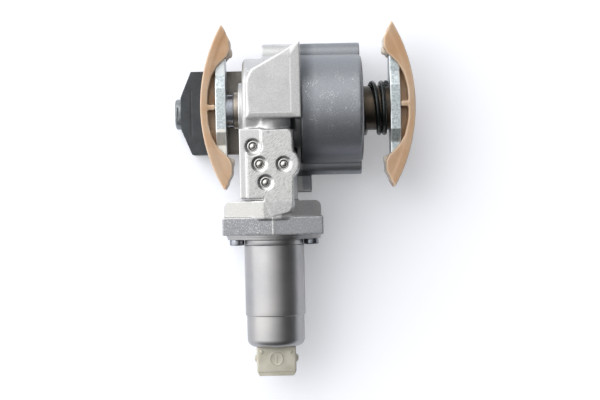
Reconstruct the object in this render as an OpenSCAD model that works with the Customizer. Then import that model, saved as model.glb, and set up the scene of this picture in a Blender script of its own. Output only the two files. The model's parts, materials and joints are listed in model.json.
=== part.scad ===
// Hydraulic chain tensioner: a sliding adjuster piston, two chain shoes and a solenoid valve.
// X runs along the plunger towards the sprung shoe, Y away from the solenoid and Z up.
// The origin lies midway between the two bolt holes, on the seat of the bolt lugs.

/* [Housing barrel] */
// Outer radius of the barrel
barrel_r = 27; // [26:0.2:31]
// Length of the barrel, from the lug seat to its end
barrel_len = 49.7; // [48:0.1:56]
// Length of the rear part behind the lug seat
rear_len = 9.4; // [8:0.2:14]
// Step from the barrel down to the rear part
rear_step = 1.2; // [0.6:0.1:2]
// Crown of the barrel's end face
end_crown = 0.4; // [0.2:0.1:2]
// Radius of the round boss that holds the guide bush
boss_r = 13.9; // [12.5:0.1:17]
// Height of that boss
boss_h = 2.3; // [1:0.1:4]
// Wall between the bore's floor and the rear face
floor_t = 3.4; // [2:0.1:5]
// Distance from the plunger axis to the milled flats on the back
back_flat = 26.4; // [25.4:0.1:26.8]

/* [Bolt lugs] */
// Distance between the two bolt holes
bolt_spacing = 54; // [52:0.5:62]
// Radius of the bolt holes
bolt_hole_r = 3.3; // [2.2:0.1:4]
// Radius of the lugs round the bolt holes
lug_r = 5.6; // [5.2:0.1:7]
// Extra height of the upper lug
lug_rise = 1.6; // [0.4:0.1:3]
// Length of the lugs
lug_len = 49.4; // [40:0.2:49.4]
// Height of the plunger axis above the bolt holes
axis_z = 12; // [8:0.5:15]

/* [Front pad] */
// Height of the pad's face above the plunger axis
pad_z = 30; // [28.5:0.1:34]
// Drop of the bevel round the pad's face
pad_bevel_h = 0.7; // [0.5:0.1:4]
// Width of the bevel at the pad's right side
pad_bevel_w = 4.8; // [3:0.2:7]
// Width of the bevel at the pad's lower edge
pad_bevel_low = 2.4; // [1:0.1:4]
// Left side of the pad
pad_left = -7.4; // [-8:0.1:-5]
// Right side of the pad
pad_right = 19.2; // [17:0.1:20]
// Lower edge of the pad
pad_low = -5.4; // [-7:0.1:-4.4]
// Height of the diagonal edge at the left side
pad_shoulder = 16.6; // [14:0.1:18]
// Height of the diagonal edge at the right side
pad_tip = 31.2; // [29:0.1:33]
// Left side of the barrel's full round, beside the pad
barrel_shoulder = 19.4; // [18.8:0.1:22]

/* [Ball block] */
// Left side of the ball block
block_left = -11; // [-14:0.1:-9]
// Right side of the ball block
block_right = 15; // [13.5:0.1:17]
// Upper edge of the ball block
block_top = -10.4; // [-12:0.1:-9.6]
// Height of the block's lower facet above the plunger axis
facet_z = 26; // [24.5:0.1:28]
// Step from the lower facet up to the main face
face_step = 1; // [0.4:0.1:2]
// Radius of the sealing balls
ball_r = 2; // [1.6:0.1:2.4]
// Radius of the countersunk pocket round each ball
pocket_r = 3.9; // [3.4:0.1:4.2]

/* [Valve and flange] */
// Place of the valve axis along X
sol_x = 4.4; // [3:0.1:6]
// Height of the valve axis relative to the plunger axis
sol_z = -2.5; // [-4:0.1:0]
// Outer radius of the valve body
valve_body_r = 12.5; // [11:0.1:15]
// Radius of the valve spool
spool_r = 6; // [5:0.1:7]
// Half width of the flange
flange_half = 24.5; // [22.5:0.1:26]
// Height of the flange's middle ridge above the valve axis
ridge_z = 29; // [27:0.1:29.2]
// Distance from the plunger axis to the hub's top
hub_y = 45.2; // [44:0.1:48]
// Height of the hub above the flange
hub_h = 8; // [6:0.1:11]
// Thickness of the housing flange
flange_t = 8.6; // [7.5:0.1:12]
// Setback of the flange's front corners from its middle ridge
flange_draft = 3; // [2:0.1:7]
// Setback of the hub's sides from its flat middle
hub_draft = 12; // [6:0.2:14]
// Setback of the hub's sides from the flange
hub_inset = 0.7; // [0.3:0.1:2]

/* [Solenoid] */
// Distance between the two flange screws
screw_spacing = 37.2; // [36:0.2:40]
// Thread radius of the flange screws
screw_r = 2.5; // [2:0.1:3]
// Radius of the screw heads
screw_head_r = 3.7; // [3.4:0.1:4.4]
// Height of the screw heads
screw_head_h = 3; // [2.4:0.1:4]
// Thickness of the solenoid's mounting plate
plate_t = 2.6; // [2:0.1:4]
// Outer radius of the solenoid can
can_r = 15; // [14.4:0.1:17]
// Wall of the solenoid can
can_wall = 1.3; // [0.8:0.1:1.6]
// Length of the solenoid can
can_len = 38; // [34:0.5:48]
// Step from the can in to the end cup
cup_step = 0.6; // [0.2:0.1:1]
// Length of the end cup
cup_len = 15.6; // [13:0.2:20]
// Radius of the end cup's bottom edge
cup_edge_r = 4; // [2:0.2:5]
// Travel of the armature and the spool
valve_travel = 1.5; // [1:0.1:2]

/* [Connector] */
// Width of the connector
conn_w = 19.6; // [18:0.1:22]
// Depth of the connector
conn_d = 14; // [13.6:0.1:17]
// Length of the connector below the end cup
conn_len = 14.3; // [13:0.1:20]
// Wall of the connector's socket
conn_wall = 1.7; // [1.2:0.1:1.8]
// Depth of the socket
socket_depth = 11; // [9:0.1:11.5]
// Distance between the two blades
blade_pitch = 5; // [4.5:0.1:6]
// Width of a blade
blade_w = 2.8; // [2.2:0.1:3.2]
// Thickness of a blade
blade_t = 0.8; // [0.6:0.1:1]

/* [Piston and plunger] */
// Radius of the adjuster piston
piston_r = 16; // [15.5:0.1:17]
// Length of the adjuster piston
piston_len = 36; // [32:0.5:38]
// Rest gap between the piston and the bore's floor
piston_gap = 8; // [6:0.1:9]
// Radius of the piston's neck
neck_r = 8.4; // [8:0.1:9]
// Wall of the guide bush round the neck
bush_wall = 1; // [0.8:0.1:1.6]
// Length of the guide bush that stands out of the housing
bush_nose = 2.7; // [1.5:0.1:4]
// Radius of the plunger
plunger_r = 11; // [10:0.1:11.5]
// Wall of the hollow plunger
plunger_wall = 3; // [2:0.1:4]
// Distance from the barrel's end to the upper carrier
plunger_reach = 13.7; // [12.5:0.1:16]
// Travel of the plunger against its spring
plunger_travel = 5; // [3:0.1:6]
// Wire radius of the tension spring
spring_wire_r = 1.3; // [1:0.05:1.4]
// Turns of the tension spring
spring_turns = 4.6; // [4:0.1:5.5]
// Radius of the check ball
check_ball_r = 2; // [1.6:0.1:2.2]

/* [Shoes and carriers] */
// Gap between the guide bush and the lower carrier
shoe_gap = 3.5; // [3.4:0.1:6]
// Thickness of the carriers
carrier_t = 5.1; // [4.4:0.1:6]
// Half width of the carriers in the middle
carrier_half = 10; // [9:0.1:10]
// Half width of the carriers' tongues
tongue_half = 7; // [5.5:0.1:7.5]
// Half length of the carriers
carrier_reach = 26.5; // [25.5:0.1:27]
// Radius of the shoes' running face
shoe_r = 82; // [76:1:95]
// Half length of the shoes
shoe_half = 41.2; // [39:0.2:43]
// Height of the shoes above their carriers
shoe_h = 7.5; // [7:0.1:9]
// Thickness of the shoes' running band
band_t = 3.6; // [2.8:0.1:4]
// Half width of the shoes
shoe_half_w = 10; // [9.4:0.1:10.6]
// Step from the band in to the shoes' ends
end_inset = 0.3; // [0.2:0.1:1.6]
// Offset of the shoes along the chain
shoe_offset = 1.4; // [0:0.1:2]

/* [Buffer] */
// Half length of the buffer block
buffer_half = 21.1; // [18:0.1:23]
// Outer end of the buffer block
buffer_end = 41.8; // [40:0.1:46]
// Top of the buffer block below the plunger axis
buffer_top = 11; // [10.8:0.1:13]
// Depth of the buffer block
buffer_d = 15; // [11:0.1:15.2]
// Length of the slope at the block's corners
buffer_slope = 5.4; // [3:0.1:8]
// Thickness of the button at the block's end
button_t = 3; // [2:0.1:5]

/* [Hidden] */
$fn = 64;

// Clearances: running fits, pressed or screwed fits, and overlap of cuts past a face
run_gap = 0.05;
seat_gap = 0.02;
cut = 1;

// Housing places along the plunger axis
rear_r = barrel_r - rear_step;
rear_edge_r = 2.2;
bore_r = piston_r + run_gap;
bore_floor = floor_t - rear_len;
lug_y = bolt_spacing / 2;
circlip_inset = 4.7;
circlip_depth = 1.1;
circlip_t = 1.4;
circlip_x = barrel_len - circlip_inset;
circlip_r = bore_r + circlip_depth;
groove_wall = 3;
lug_inner = lug_y / 2;

// Ball block: the balls as X, Y and share of the step, the bump round the outer one, and its foot
balls = [[-4.4, -18.9, 0], [-1.3, -27.5, 1], [10.4, -27.7, 1], [1.5, -36.4, 1]];
ball_sink = 0.3;
ball_depth = ball_r + ball_sink;
pocket_sink = 1.2;
pocket_floor_r = ball_r + 1;
gallery_r = 0.65 * ball_r;
gallery_depth = 12;
bump_r = 8;
bump_half = 6.4;
bump_reach = asin(bump_half / bump_r);
block_seam = 1.2;
hub_flat = 4.2;
hub_drop = 0.2;
hub_top = facet_z + face_step - sol_z - hub_drop;
block_low = block_seam - hub_y;
seam_depth = 1.6;

// Valve and solenoid places along the valve axis
flange_y = -(hub_y + hub_h);
flange_face = flange_y - flange_t;
spool_bore_r = spool_r + run_gap / 2;
spool_wall = 3;
spool_end = -(bore_r + spool_wall);
spool_space = 5;
spool_top = spool_end - spool_space;
spigot_len = 4.3;
spigot_r = spool_r + spool_wall;
spool_low = flange_face + spigot_len + valve_travel;
spool_pocket_r = 0.6 * spool_r;
spool_pocket = 5.5;
pin_r = 2;
can_top = flange_face - plate_t;
can_neck_step = 0.4;
can_neck_r = can_r - can_neck_step;
can_neck_h = 2.5;
can_low = can_top - can_len;
cup_r = can_r - cup_step;
cup_wall = 1.2;
cup_low = can_low - cup_len;
tube_r = 7;
tube_wall = 0.6;
core_len = 18;
core_low = can_top - core_len;
armature_stop = 0.5;
armature_len = 14;
armature_top = core_low - valve_travel - armature_stop;
armature_low = armature_top - armature_len;
pin_floor = 4;
tube_room = 2.2;
tube_low = armature_low - tube_room;
bobbin_wall = 1;
bobbin_floor = 1.6;
bobbin_low = tube_low - bobbin_floor;
bobbin_gap = 0.1;
bobbin_r = can_neck_r - can_wall - bobbin_gap;
bobbin_inset = 1.4;
bobbin_top = can_top - bobbin_inset;
oring_wire_r = 0.95;
oring_r = spigot_r + 2.3 * oring_wire_r;
oring_groove = oring_wire_r + 0.15;
screw_len = 7;
screw_room = 0.4;
screw_hole_gap = 0.25;

// Connector places
conn_low = cup_low - conn_len;
stem_w = 15;
stem_d = 9;
stem_h = 6;
blade_inset = 2.8;
blade_tip = conn_low + blade_inset;
nub_r = 1.75;

// Piston, plunger and shoe places along the plunger axis
piston_x = bore_floor + piston_gap;
piston_end = piston_x + piston_len;
plunger_bore_r = plunger_r + run_gap / 2;
piston_floor_t = 6;
plunger_floor = piston_x + piston_floor_t;
oil_room = 5;
bush_x = -(rear_len + boss_h + bush_nose);
bush_r = neck_r + run_gap + bush_wall;
lower_face = bush_x - shoe_gap;
upper_face = barrel_len + plunger_reach;
plunger_x = plunger_floor + oil_room + plunger_travel;
stud_inset = 0.3;
ring_inset = 5;
stud_r = 5.5;
groove_depth = 1.7;
ring_w = 1.5;
spring_gap = 0.15;
spring_r = plunger_r + spring_gap + spring_wire_r;
outer_closed = 1.65;
inner_closed = 1;
spring_pitch_closed = 2.04 * spring_wire_r;
shoe_sag = shoe_r - sqrt(pow(shoe_r, 2) - pow(shoe_half, 2));

// Check valve places: seat, ball and cage in a counterbore of the plunger bore's floor
valve_r = 5;
valve_depth = 8.5;
seat_t = 2;
seat_hole_r = 0.6 * check_ball_r;
check_x = plunger_floor - valve_depth;
check_ball_x = check_x + seat_t + sqrt(pow(check_ball_r, 2) - pow(seat_hole_r, 2)) + seat_gap;
check_wire_r = 0.2;
check_coil_r = 0.6 * check_ball_r;
check_coil_x = check_ball_x + seat_gap
    + sqrt(pow(check_ball_r + check_wire_r, 2) - pow(check_coil_r, 2));

// Buffer places
buffer_mid_z = -(buffer_top + buffer_d / 2);
buffer_inner = lower_face - carrier_t;
buffer_flat = 8.1;
dowel_r = 2;
dowel_y = 8;
dowel_len = 6;
bracket_inset = 2;
bracket_gap = 0.3;
bracket_top = -(boss_r + bracket_gap);
bracket_low = -(buffer_top + buffer_d) + bracket_inset;
tang_half = 12;
tang_t = 5;
tang_len = 9;
button_stem = 3;

// Points of an arc round c from angle a to angle b
function arc(c, r, a, b, n = 6) = [for (i = [0:n])
    let (t = a + (b - a) * i / n) [c[0] + r * cos(t), c[1] + r * sin(t)]];

// Height of the pad's diagonal edge at x
function pad_edge(x) = pad_shoulder
    + (pad_tip - pad_shoulder) * (x - pad_left) / (pad_right - pad_left);

// Moves a piece from the plunger axis to its height above the bolt holes
module lifted() translate([0, 0, axis_z]) children();

// Cylinder along the plunger axis
module rod_x(x0, x1, r) translate([x0, 0, 0]) rotate([0, 90, 0]) cylinder(h = x1 - x0, r = r);

// Turned piece on the plunger axis; the profile's points are place along X and radius
module turned_x(profile) rotate([0, 90, 0]) rotate_extrude() polygon([for (p = profile) [p[1], p[0]]]);

// Moves a piece to the valve axis, on the plunger axis's height
module on_valve() translate([sol_x, 0, sol_z]) children();

// Cylinder along the valve axis
module rod_y(y0, y1, r) translate([0, y0, 0]) rotate([-90, 0, 0]) cylinder(h = y1 - y0, r = r);

// Turned piece on the valve axis; the profile's points are place along Y and radius
module turned_y(profile) rotate([-90, 0, 0]) rotate_extrude() polygon([for (p = profile) [p[1], p[0]]]);

// Outline in X and Z, given thickness from y down
module slab_y(y, t) translate([0, y, 0]) rotate([90, 0, 0]) linear_extrude(t) children();

// Coil along X: lay gives the wire's place along X for each count of turns
module coil(r, wire_r, lay, turns, start, per_turn, sides) {
    n = ceil(turns * per_turn);
    points = [for (i = [0:n]) for (j = [0:sides - 1])
        let (t = turns * i / n, a = start + 360 * t, b = 360 * j / sides, d = r + wire_r * cos(b))
        [lookup(t, lay) + wire_r * sin(b), d * cos(a), d * sin(a)]];
    walls = [for (i = [0:n - 1]) for (j = [0:sides - 1])
        let (k = (j + 1) % sides) each [
            [i * sides + j, (i + 1) * sides + j, (i + 1) * sides + k],
            [i * sides + j, (i + 1) * sides + k, i * sides + k]]];
    caps = [[for (j = [0:sides - 1]) j], [for (j = [sides - 1:-1:0]) n * sides + j]];
    polyhedron(points, concat(walls, caps));
}

// Outline of a plate with a round middle and two ears, with straight tangents between them
module eared_outline(mid_r, ear_r, half) {
    tilt = acos((mid_r - ear_r) / half);
    polygon(concat(
        arc([half, 0], ear_r, -tilt, tilt, 12), arc([0, 0], mid_r, tilt, 180 - tilt, 16),
        arc([-half, 0], ear_r, 180 - tilt, 180 + tilt, 12),
        arc([0, 0], mid_r, 180 + tilt, 360 - tilt, 16)));
}

module barrel_body() {
    end_edge = 2.2;
    end_lean = 20;
    turned_x(concat(
        [[-rear_len, 0]],
        arc([-rear_len + rear_edge_r, rear_r - rear_edge_r], rear_edge_r, 180, 90),
        [[0, rear_r], [0, barrel_r]],
        arc([barrel_len - end_edge, barrel_r - end_edge], end_edge, 90, end_lean),
        [[barrel_len + end_crown, bore_r + 1], [barrel_len + end_crown, 0]]));
    rod_x(-(rear_len + boss_h), 0, boss_r);
}

// Deep groove between the barrel's full round and the ball block
module barrel_groove() {
    reach = 2 * barrel_r;
    difference() {
        intersection() {
            rod_x(block_right - cut, barrel_shoulder, reach);
            translate([0, pad_low - reach, lug_r - axis_z]) cube(reach);
        }
        rod_x(block_right - 2 * cut, barrel_shoulder + cut, bore_r + groove_wall);
    }
}

module bolt_lugs() {
    for (s = [-1, 1]) {
        outer = s > 0 ? lug_rise : 0;
        translate([0, s * lug_y, -axis_z]) {
            for (y = [0:lug_rise:outer]) translate([0, y, 0]) rod_x(0, lug_len, lug_r);
            translate([0, s < 0 ? 0 : -lug_inner, -lug_r]) cube([lug_len, lug_inner + outer, 2 * lug_r]);
        }
    }
}

module front_pad() {
    edge_inset = 0.8;
    corner = 2.6;
    corner_drop = 4.6;
    flat_w = 5.7;
    left = pad_left + edge_inset;
    right = pad_right - pad_bevel_w;
    low = pad_low + pad_bevel_low;
    top = pad_edge(right - flat_w) - edge_inset;
    hull() {
        linear_extrude(pad_z - pad_bevel_h) polygon([
            [pad_left, pad_low], [pad_right, pad_low], [pad_right, pad_tip],
            [pad_left + corner, pad_edge(pad_left + corner)],
            [pad_left + corner / 4, pad_edge(pad_left) - corner_drop / 2],
            [pad_left, pad_edge(pad_left) - corner_drop]]);
        linear_extrude(pad_z) polygon([
            [left + edge_inset, low], [right, low], [right, top], [right - flat_w, top],
            [left + corner, pad_edge(left + corner) - edge_inset],
            [left + corner / 4, pad_edge(left) - corner_drop / 2 - edge_inset],
            [left, pad_edge(left) - corner_drop - edge_inset]]);
    }
}

// Outline of the ball block, drawn in from its outer edge by inset
module block_outline(inset) {
    corner = 1.6;
    nose_r = 4.6;
    nose_drop = 1.8;
    nose_end = -70;
    right = block_right - inset;
    polygon(concat(
        [[block_left + inset, block_top - inset], [right - corner, block_top - inset],
         [right, block_top - inset - corner]],
        arc([balls[2][0], balls[2][1]], bump_r - inset, bump_reach, -bump_reach),
        arc([right - nose_r, -hub_y - nose_drop], nose_r, 0, nose_end),
        [[sol_x, flange_y + inset], [sol_x - hub_flat, block_low], [block_left + inset, block_low]]));
}

// Main face, a step higher than the facet round the first ball
module block_face() {
    inset = 0.6;
    rim = 0.3;
    facet_x = sol_x - 4.7;
    facet_w = 3.7;
    left = block_left - cut;
    ball_y = balls[0][1];
    difference() {
        block_outline(inset);
        translate([left, ball_y]) square([facet_x - left, block_top - ball_y]);
        translate([left, -2 * hub_y]) square([facet_w + cut, 2 * hub_y + ball_y]);
        translate([balls[0][0], ball_y]) circle(pocket_r + rim);
    }
}

module ball_block() {
    boss_top = -4;
    linear_extrude(facet_z) block_outline(0);
    linear_extrude(facet_z + face_step) block_face();
    intersection() {
        translate([block_left + cut, -hub_y - cut, 0])
            cube([sol_x - block_left, block_seam + 2 * cut, facet_z]);
        on_valve() slab_y(block_low + cut, block_seam + 2 * cut) hub_section(seam_depth);
    }
    translate([sol_x, 0, facet_z - valve_body_r]) rod_y(block_top - cut, boss_top, valve_body_r);
}

module valve_body() {
    foot_w = 9;
    foot_y = hub_y - 4;
    foot_top = -barrel_r / 2;
    on_valve() rod_y(flange_y, spool_end + spool_wall, valve_body_r);
    translate([block_right, -foot_y, -back_flat])
        cube([foot_w, foot_y - barrel_r / 2, back_flat + foot_top]);
}

// Section of the flange or hub: a ridge in front and chamfers behind, drawn in at the sides by inset
module ridged_section(ridge, inset, draft) {
    half = flange_half - inset;
    side_z = ridge[0][1] - draft;
    rear_z = back_flat + sol_z;
    rear_chamfer = 8;
    rear_draft = 3.1;
    rear_w = flange_half - rear_chamfer;
    polygon(concat(ridge, [
        [half, side_z], [half, rear_draft - rear_z], [rear_w, -rear_z], [-rear_w, -rear_z],
        [-half, rear_draft - rear_z], [-half, side_z]]));
}

// Section of the hub, whose flat middle rounds off to its sides, lowered by drop
module hub_section(drop) {
    shoulder = 9.5;
    shoulder_drop = 1.7;
    top = hub_top - drop;
    ridged_section([[-shoulder, top - shoulder_drop], [-hub_flat, top], [hub_flat, top],
                    [shoulder, top - shoulder_drop]], hub_inset, hub_draft - shoulder_drop);
}

module hub_and_flange() {
    corner = 3.4;
    half = flange_half - hub_inset;
    depth = 4 * flange_half;
    on_valve() {
        intersection() {
            slab_y(-hub_y, hub_h + cut) hub_section(0);
            translate([0, 0, -depth / 2]) linear_extrude(depth) polygon(concat(
                arc([half - corner, -hub_y - corner], corner, 0, 90),
                arc([corner - half, -hub_y - corner], corner, 90, 180),
                [[-half, flange_y - cut], [half, flange_y - cut]]));
        }
        slab_y(flange_y, flange_t) ridged_section([[0, ridge_z]], 0, flange_draft);
    }
}

module ball_hole(ball) {
    face = facet_z + face_step * ball[2];
    step = face - ball_depth - sqrt(pow(ball_r, 2) - pow(gallery_r, 2)) - seat_gap;
    slope = (pocket_r - pocket_floor_r) / pocket_sink;
    translate([ball[0], ball[1], 0]) {
        translate([0, 0, face - pocket_sink])
            cylinder(h = pocket_sink + cut, r1 = pocket_floor_r, r2 = pocket_r + cut * slope);
        translate([0, 0, step]) cylinder(h = face - step, r = ball_r + seat_gap);
        translate([0, 0, face - gallery_depth]) cylinder(h = gallery_depth - pocket_sink, r = gallery_r);
    }
}

module housing_bores() {
    turned_x([
        [bore_floor, 0], [bore_floor, bore_r], [circlip_x, bore_r], [circlip_x, circlip_r],
        [circlip_x + circlip_t + run_gap, circlip_r], [circlip_x + circlip_t + run_gap, bore_r],
        [barrel_len + end_crown + cut, bore_r], [barrel_len + end_crown + cut, 0]]);
    rod_x(-(rear_len + boss_h + cut), bore_floor + cut, bush_r + seat_gap);
    for (s = [-1, 1]) {
        translate([0, s * lug_y, -axis_z]) rod_x(-rear_len - cut, lug_len + cut, bolt_hole_r);
        translate([0, s * dowel_y, buffer_mid_z])
            rod_x(-rear_len - cut, dowel_len - rear_len + bracket_gap, dowel_r + seat_gap);
    }
    on_valve() {
        rod_y(flange_face - cut, spool_end, spool_bore_r);
        rod_y(flange_face - cut, flange_face + spigot_len, spigot_r + seat_gap);
        turned_y([
            [flange_face - cut, oring_r - oring_groove], [flange_face - cut, oring_r + oring_groove],
            [flange_face + 2 * oring_wire_r + 2 * seat_gap, oring_r + oring_groove],
            [flange_face + 2 * oring_wire_r + 2 * seat_gap, oring_r - oring_groove]]);
        for (s = [-1, 1])
            translate([s * screw_spacing / 2, 0, 0])
                rod_y(flange_face - cut, flange_face + screw_len + screw_room, screw_r + seat_gap);
    }
    for (ball = balls) ball_hole(ball);
}

module housing() {
    floor_w = 400;
    color("silver") lifted() difference() {
        union() {
            difference() {
                barrel_body();
                barrel_groove();
            }
            bolt_lugs();
            front_pad();
            ball_block();
            valve_body();
            hub_and_flange();
        }
        housing_bores();
        translate([-floor_w / 2, -floor_w / 2, -back_flat - floor_w]) cube(floor_w);
    }
}

module gallery_balls() {
    color("lightgray") lifted() for (ball = balls)
        translate([ball[0], ball[1], facet_z + face_step * ball[2] - ball_depth]) sphere(ball_r);
}

module guide_bush() {
    edge = 0.4;
    color("rosybrown") lifted() turned_x([
        [bush_x + edge, neck_r + run_gap], [bush_x, neck_r + run_gap + edge], [bush_x, bush_r - edge],
        [bush_x + edge, bush_r], [bore_floor, bush_r], [bore_floor, neck_r + run_gap]]);
}

module retaining_ring() {
    lip = 1.4;
    slit = 7;
    color("dimgray") lifted() difference() {
        rod_x(circlip_x + run_gap / 2, circlip_x + circlip_t, circlip_r - run_gap);
        rod_x(circlip_x - cut, circlip_x + circlip_t + cut, bore_r - lip);
        translate([circlip_x - cut, -slit / 2, 0]) cube([circlip_t + 2 * cut, slit, circlip_r + cut]);
    }
}

module adjuster_piston() {
    feed_r = 1.2;
    feed_x = check_x - 1.7;
    groove_r = piston_r - groove_depth;
    edge = 0.6;
    ring_a = piston_x + ring_inset;
    ring_b = piston_end - ring_inset - ring_w;
    ring_gap = 2 * seat_gap;
    color("dimgray") lifted() difference() {
        turned_x([
            [lower_face - carrier_t + stud_inset, 0], [lower_face - carrier_t + stud_inset, stud_r],
            [lower_face, stud_r], [lower_face, neck_r], [piston_x, neck_r],
            [piston_x, piston_r - edge], [piston_x + edge, piston_r],
            [ring_a - ring_gap, piston_r], [ring_a - ring_gap, groove_r],
            [ring_a + ring_w + ring_gap, groove_r], [ring_a + ring_w + ring_gap, piston_r],
            [ring_b - ring_gap, piston_r], [ring_b - ring_gap, groove_r],
            [ring_b + ring_w + ring_gap, groove_r], [ring_b + ring_w + ring_gap, piston_r],
            [piston_end - edge, piston_r], [piston_end, piston_r - edge], [piston_end, 0]]);
        rod_x(plunger_floor, piston_end + cut, plunger_bore_r);
        rod_x(check_x, plunger_floor + cut, valve_r + seat_gap);
        rod_x(feed_x, check_x + cut, feed_r);
        translate([feed_x, 0, -neck_r - cut]) cylinder(h = 2 * (neck_r + cut), r = feed_r);
    }
}

module piston_rings() {
    color("darkslategray") lifted() for (x = [piston_x + ring_inset, piston_end - ring_inset - ring_w])
        difference() {
            rod_x(x, x + ring_w, piston_r + run_gap / 2);
            rod_x(x - cut, x + ring_w + cut, piston_r - groove_depth + seat_gap);
        }
}

// Shoe carrier with its outer face at u = 0; u points out to the chain
module carrier() {
    step_a = 11;
    step_b = 17.3;
    corner = 1.2;
    translate([-carrier_t, 0, 0]) rotate([90, 0, 90]) linear_extrude(carrier_t) difference() {
        polygon([for (q = [[1, 1], [1, -1], [-1, -1], [-1, 1]])
            let (half = [[step_a, carrier_half], [step_b, tongue_half],
                         [carrier_reach - corner, tongue_half], [carrier_reach, tongue_half - corner]],
                 order = q[0] * q[1] > 0 ? [0, 1, 2, 3] : [3, 2, 1, 0])
            each [for (i = order) [q[0] * half[i][0], q[1] * half[i][1]]]]);
        circle(stud_r + seat_gap);
    }
}

// Half of the shoe's end in u and v, before it is trimmed to the running face
module shoe_end() {
    out = shoe_h + cut;
    root = -carrier_t - 2.6;
    tip_slope = 8.2;
    hook = 1.5;
    root_end = 9;
    polygon([[shoe_h - shoe_sag, shoe_half], [root, shoe_half - tip_slope], [root, carrier_reach + hook],
             [-carrier_t - 1, carrier_reach - hook], [-0.9, 20], [1.7, 15.3], [3.3, root_end],
             [out, root_end], [out, shoe_half]]);
}

// Chain shoe clipped on a carrier whose outer face lies at u = 0
module shoe() {
    slot = 0.06;
    rib_half = 1.35;
    web_half = 3;
    web_reach = 21;
    nub_r = 1.7;
    nub_len = 1.5;
    nub = [-carrier_t - nub_r - 0.1, carrier_reach + 0.2];
    inner = shoe_half_w - end_inset;
    band_end = shoe_h - shoe_sag;
    band_root = band_end - band_t * 0.6;
    difference() {
        union() {
            translate([0, 0, -shoe_half_w]) linear_extrude(2 * shoe_half_w) intersection() {
                difference() {
                    translate([shoe_h - shoe_r, 0]) circle(shoe_r, $fn = 180);
                    translate([shoe_h - shoe_r, 0]) circle(shoe_r - band_t, $fn = 180);
                }
                polygon([[band_end, -shoe_half], [band_root, -shoe_half + band_t],
                         [band_root, shoe_half - band_t], [band_end, shoe_half],
                         [shoe_h + cut, shoe_half], [shoe_h + cut, -shoe_half]]);
            }
            translate([0, 0, -inner]) linear_extrude(2 * inner) intersection() {
                translate([shoe_h - shoe_r, 0]) circle(shoe_r - band_t / 2, $fn = 180);
                union() {
                    shoe_end();
                    mirror([0, 1]) shoe_end();
                    translate([slot, -rib_half]) square([shoe_h, 2 * rib_half]);
                }
            }
            translate([0, 0, -web_half]) linear_extrude(2 * web_half) intersection() {
                translate([shoe_h - shoe_r, 0]) circle(shoe_r - band_t / 2, $fn = 180);
                translate([slot, -web_reach]) square([shoe_h, 2 * web_reach]);
            }
            for (s = [-1, 1]) translate([nub[0], s * nub[1], -web_half]) linear_extrude(2 * web_half) {
                for (y = [0, nub_len]) translate([0, s * y]) circle(nub_r);
                translate([-nub_r, s > 0 ? 0 : -nub_len]) square([2 * nub_r, nub_len]);
            }
        }
        translate([-carrier_t - slot, -carrier_reach - shoe_offset - slot, -tongue_half - slot])
            cube([carrier_t + 2 * slot, 2 * (carrier_reach + slot), 2 * (tongue_half + slot)]);
    }
}

// Places of the two carriers' outer faces
module on_lower() lifted() translate([lower_face - carrier_t, 0, 0]) mirror([1, 0, 0]) children();
module on_upper() lifted() translate([upper_face + carrier_t, 0, 0]) children();

module lower_plate() { color("lightsteelblue") on_lower() carrier(); }
module upper_plate() { color("lightsteelblue") on_upper() carrier(); }
module lower_shoe() { color("burlywood") on_lower() translate([0, shoe_offset, 0]) shoe(); }
module upper_shoe() { color("burlywood") on_upper() translate([0, shoe_offset, 0]) shoe(); }

module check_seat() {
    color("slategray") lifted() difference() {
        rod_x(check_x, check_x + seat_t, valve_r);
        rod_x(check_x - cut, check_x + seat_t + cut, seat_hole_r);
    }
}

module check_cage() {
    wall = 1;
    hole_r = 0.8;
    color("gray") lifted() turned_x([
        [check_x + seat_t, valve_r - wall], [check_x + seat_t, valve_r], [plunger_floor, valve_r],
        [plunger_floor, hole_r], [plunger_floor - wall, hole_r], [plunger_floor - wall, valve_r - wall]]);
}

module check_ball() { color("lightgray") lifted() translate([check_ball_x, 0, 0]) sphere(check_ball_r); }

module check_spring() {
    turns = 2.5;
    last = plunger_floor - 1 - check_wire_r - seat_gap;
    color("gray") lifted()
        coil(check_coil_r, check_wire_r, [[0, check_coil_x], [turns, last]], turns, 0, 14, 6);
}

module tension_spring() {
    first = upper_face - spring_wire_r;
    last = piston_end + spring_wire_r;
    lay = [[0, first], [outer_closed, first - outer_closed * spring_pitch_closed],
           [spring_turns - inner_closed, last + inner_closed * spring_pitch_closed], [spring_turns, last]];
    color("darkslategray") lifted() mirror([0, 0, 1])
        coil(spring_r, spring_wire_r, lay, spring_turns, 0, 28, 10);
}

module tension_plunger() {
    edge = 0.6;
    inner_r = plunger_r - plunger_wall;
    head_t = 6;
    color("dimgray") lifted() turned_x([
        [plunger_x, inner_r], [plunger_x, plunger_r - edge], [plunger_x + edge, plunger_r],
        [upper_face, plunger_r], [upper_face, stud_r], [upper_face + carrier_t - stud_inset, stud_r],
        [upper_face + carrier_t - stud_inset, 0], [upper_face - head_t, 0],
        [upper_face - head_t, inner_r]]);
}

module valve_spool() {
    waist_r = 0.66 * spool_r;
    span = (spool_top - spool_pocket - spool_low) / 5;
    a = spool_low + span;
    b = spool_low + 3 * span;
    color("silver") lifted() on_valve() difference() {
        turned_y([
            [spool_low, 0], [spool_low, spool_r], [a, spool_r], [a, waist_r], [a + span, waist_r],
            [a + span, spool_r], [b, spool_r], [b, waist_r], [b + span, waist_r], [b + span, spool_r],
            [spool_top, spool_r], [spool_top, 0]]);
        rod_y(spool_top - spool_pocket, spool_top + cut, spool_pocket_r);
    }
}

module spool_spring() {
    wire_r = 0.4;
    turns = 5;
    first = spool_end - wire_r - seat_gap;
    last = spool_top - spool_pocket + wire_r + seat_gap;
    color("gray") lifted() on_valve() rotate([0, 0, 90])
        coil(spool_pocket_r - 2 * wire_r, wire_r, [[0, first], [turns, last]], turns, 0, 14, 6);
}

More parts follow.
